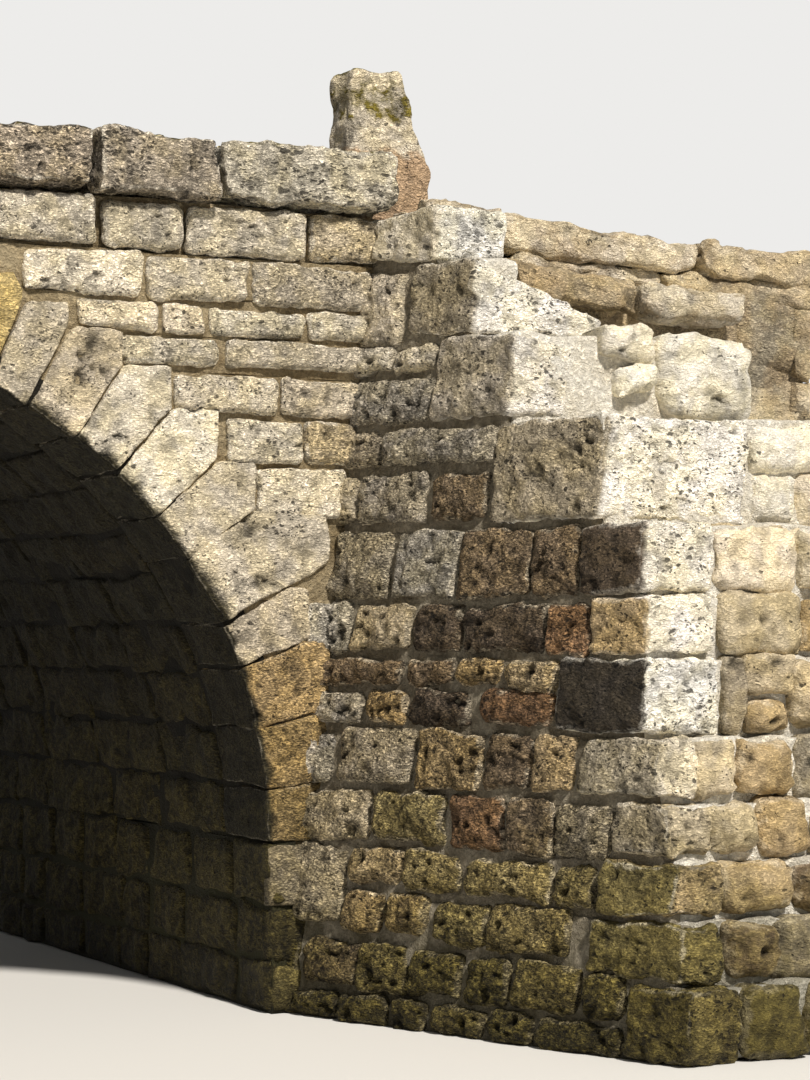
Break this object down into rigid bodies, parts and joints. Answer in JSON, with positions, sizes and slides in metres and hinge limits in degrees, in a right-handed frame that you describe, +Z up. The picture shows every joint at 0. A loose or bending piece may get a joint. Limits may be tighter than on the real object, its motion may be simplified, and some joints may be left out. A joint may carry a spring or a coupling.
{
  "type": "stone arch bridge",
  "caption": "Round-arched stone road bridge over a stream, with coursed spandrel walls, plain coping, splayed stepped wing walls, approach walls and rough guard stones.",
  "frame": {"origin": "middle of the bridge in plan, at the foot of the walls, which is the low water line", "axes": "+X along the road, +Y along the stream from the front face to the back, +Z up"},
  "size_m": [9, 8.16, 3.92],
  "materials": {
    "arch_stone": "sawn and dressed limestone, warm buff, weathered and lightly pitted",
    "wall_stone": "coursed buff limestone in pale lime mortar, weathered",
    "wing_stone": "squared brown and grey limestone in grey mortar, mossy towards its foot",
    "corner_stone": "large pale limestone blocks, deeply pitted, dark on the shaded side",
    "coping_stone": "rough pitted limestone, grey-brown with orange lichen and moss",
    "vault_stone": "damp olive-brown limestone slabs with green streaks",
    "rubble_stone": "rough broken limestone rubble, cream to tan",
    "guard_stone": "rough upright limestone, pale yellow with moss and an earth-stained foot",
    "packing": "packed rubble and earth",
    "road_gravel": "compacted gravel and earth"
  },
  "bodies": {
    "root": {"abutment_left": "vault_stone", "abutment_right": "vault_stone", "approach_core_left": "packing", "approach_core_right": "packing", "approach_slabs_back_left": "rubble_stone", "approach_slabs_back_right": "rubble_stone", "approach_slabs_front_left": "rubble_stone", "approach_slabs_front_right": "rubble_stone", "approach_wall_back_left": "rubble_stone", "approach_wall_back_right": "rubble_stone", "approach_wall_front_left": "rubble_stone", "approach_wall_front_right": "rubble_stone", "arch_ring_back": "arch_stone", "arch_ring_front": "arch_stone", "barrel": "vault_stone", "coping_back": "coping_stone", "coping_front": "coping_stone", "guard_stones": "guard_stone", "haunch_fill_left": "packing", "haunch_fill_right": "packing", "road_bed": "road_gravel", "spandrel_back_left": "wall_stone", "spandrel_back_right": "wall_stone", "spandrel_front_left": "wall_stone", "spandrel_front_right": "wall_stone", "upper_course_back": "wall_stone", "upper_course_front": "wall_stone", "wing_back_left": "wing_stone", "wing_back_right": "wing_stone", "wing_corner_back_left": "corner_stone", "wing_corner_back_right": "corner_stone", "wing_corner_front_left": "corner_stone", "wing_corner_front_right": "corner_stone", "wing_front_left": "wing_stone", "wing_front_right": "wing_stone"}
  },
  "joints": []
}
